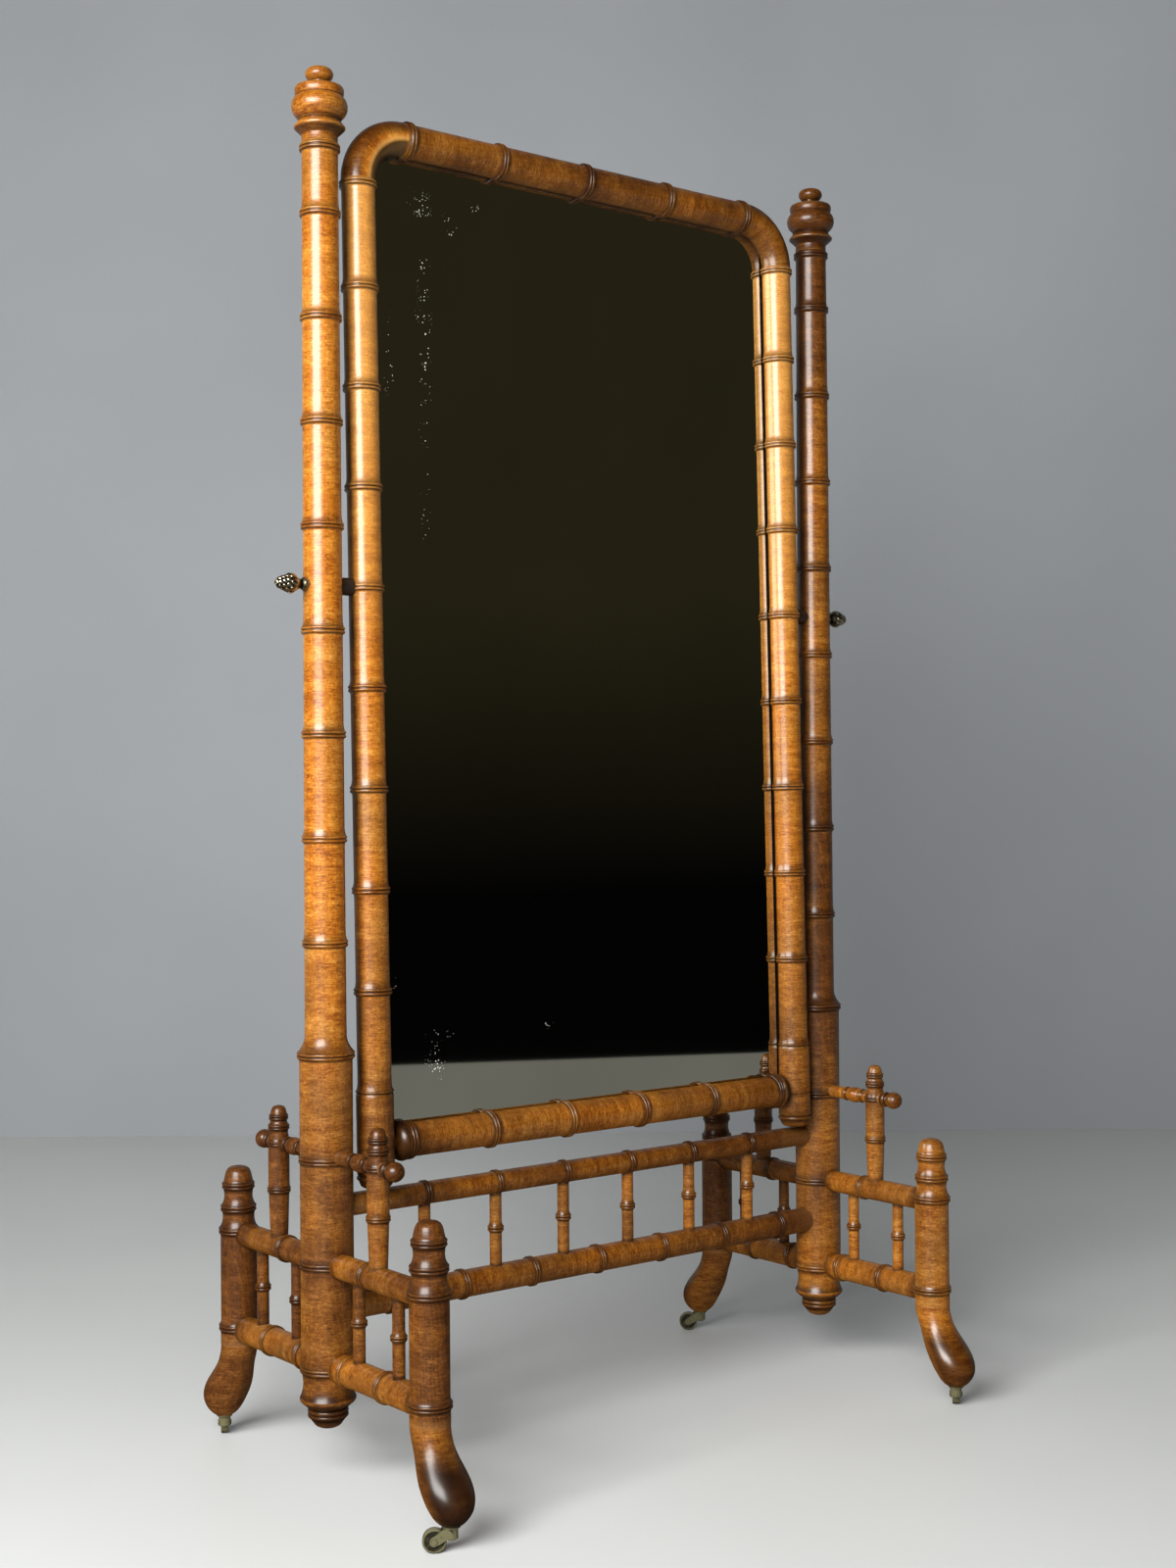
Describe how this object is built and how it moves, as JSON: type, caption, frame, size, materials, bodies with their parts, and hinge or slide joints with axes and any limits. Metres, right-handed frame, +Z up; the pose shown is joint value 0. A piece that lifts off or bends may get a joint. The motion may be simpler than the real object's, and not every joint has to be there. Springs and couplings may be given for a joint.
{
  "type": "cheval mirror",
  "caption": "Full-length tilting mirror in a turned faux-bamboo frame, hung between ringed posts on a galleried stand with club feet and brass casters",
  "frame": {"origin": "centre of the footprint on the floor", "axes": "+Z up, +X to the right seen from the glass side, -Y the glass side"},
  "size_m": [1.0628, 0.6409, 1.8995],
  "materials": {
    "honey_maple": "polished",
    "brown_maple": "polished",
    "black_wood": "satin",
    "backboard_pine": "raw",
    "silvered_glass": "aged silvering",
    "aged_brass": "aged",
    "iron_screws": "dull"
  },
  "bodies": {
    "stand": {"post_left": "honey_maple", "post_right": "honey_maple", "finial_left": "honey_maple", "finial_right": "honey_maple", "leg_front_left": "brown_maple", "leg_back_left": "brown_maple", "leg_front_right": "brown_maple", "leg_back_right": "brown_maple", "foot_front_left": "brown_maple", "foot_back_left": "brown_maple", "foot_front_right": "brown_maple", "foot_back_right": "brown_maple", "upper_rail_front_left": "honey_maple", "upper_rail_back_left": "honey_maple", "upper_rail_front_right": "honey_maple", "upper_rail_back_right": "honey_maple", "lower_rail_front_left": "honey_maple", "lower_rail_back_left": "honey_maple", "lower_rail_front_right": "honey_maple", "lower_rail_back_right": "honey_maple", "upright_front_left": "honey_maple", "upright_back_left": "honey_maple", "upright_front_right": "honey_maple", "upright_back_right": "honey_maple", "arm_front_left": "honey_maple", "arm_back_left": "honey_maple", "arm_front_right": "honey_maple", "arm_back_right": "honey_maple", "arm_knobs": "brown_maple", "side_spindles": "honey_maple", "stretcher_upper": "brown_maple", "stretcher_lower": "brown_maple", "gallery_spindles": "honey_maple", "caster_plates": "aged_brass"},
    "mirror": {"stile_left": "honey_maple", "stile_right": "honey_maple", "elbow_left": "honey_maple", "elbow_right": "honey_maple", "top_rail": "honey_maple", "bottom_rail": "honey_maple", "frame_dowels": "backboard_pine", "mirror_glass": "silvered_glass", "backboard": "backboard_pine", "backboard_screws": "iron_screws", "pivot_plates": "aged_brass", "pivot_spacers": "black_wood"},
    "thumbscrew_left": {"thumbscrew_left": "aged_brass"},
    "thumbscrew_right": {"thumbscrew_right": "aged_brass"},
    "caster_fork_front_left": {"caster_fork_front_left": "aged_brass", "caster_axle_front_left": "aged_brass"},
    "caster_wheel_front_left": {"caster_wheel_front_left": "aged_brass"},
    "caster_fork_back_left": {"caster_fork_back_left": "aged_brass", "caster_axle_back_left": "aged_brass"},
    "caster_wheel_back_left": {"caster_wheel_back_left": "aged_brass"},
    "caster_fork_front_right": {"caster_fork_front_right": "aged_brass", "caster_axle_front_right": "aged_brass"},
    "caster_wheel_front_right": {"caster_wheel_front_right": "aged_brass"},
    "caster_fork_back_right": {"caster_fork_back_right": "aged_brass", "caster_axle_back_right": "aged_brass"},
    "caster_wheel_back_right": {"caster_wheel_back_right": "aged_brass"}
  },
  "joints": [
    {"name": "mirror_tilt", "type": "hinge", "parent": "stand", "child": "mirror", "pos_m": [0, 0, 1.207], "axis": [1, 0, 0], "continuous": true},
    {"name": "thumbscrew_left_turn", "type": "hinge", "parent": "mirror", "child": "thumbscrew_left", "pos_m": [0, 0, 1.207], "axis": [1, 0, 0], "range_deg": [-360, 360]},
    {"name": "thumbscrew_right_turn", "type": "hinge", "parent": "mirror", "child": "thumbscrew_right", "pos_m": [0, 0, 1.207], "axis": [1, 0, 0], "range_deg": [-360, 360]},
    {"name": "caster_front_left_swivel", "type": "hinge", "parent": "stand", "child": "caster_fork_front_left", "pos_m": [-0.458, -0.2895, 0.024], "axis": [0, 0, 1], "continuous": true},
    {"name": "caster_front_left_roll", "type": "hinge", "parent": "caster_fork_front_left", "child": "caster_wheel_front_left", "pos_m": [-0.4752, -0.27746, 0.015], "axis": [-0.5736, -0.8192, 0], "continuous": true},
    {"name": "caster_back_left_swivel", "type": "hinge", "parent": "stand", "child": "caster_fork_back_left", "pos_m": [-0.458, 0.2895, 0.024], "axis": [0, 0, 1], "continuous": true},
    {"name": "caster_back_left_roll", "type": "hinge", "parent": "caster_fork_back_left", "child": "caster_wheel_back_left", "pos_m": [-0.44814, 0.30804, 0.015], "axis": [-0.8829, 0.4695, 0], "continuous": true},
    {"name": "caster_front_right_swivel", "type": "hinge", "parent": "stand", "child": "caster_fork_front_right", "pos_m": [0.458, -0.2895, 0.024], "axis": [0, 0, 1], "continuous": true},
    {"name": "caster_front_right_roll", "type": "hinge", "parent": "caster_fork_front_right", "child": "caster_wheel_front_right", "pos_m": [0.47361, -0.27545, 0.015], "axis": [-0.6691, 0.7431, 0], "continuous": true},
    {"name": "caster_back_right_swivel", "type": "hinge", "parent": "stand", "child": "caster_fork_back_right", "pos_m": [0.458, 0.2895, 0.024], "axis": [0, 0, 1], "continuous": true},
    {"name": "caster_back_right_roll", "type": "hinge", "parent": "caster_fork_back_right", "child": "caster_wheel_back_right", "pos_m": [0.44215, 0.30328, 0.015], "axis": [-0.6561, -0.7547, 0], "continuous": true}
  ]
}
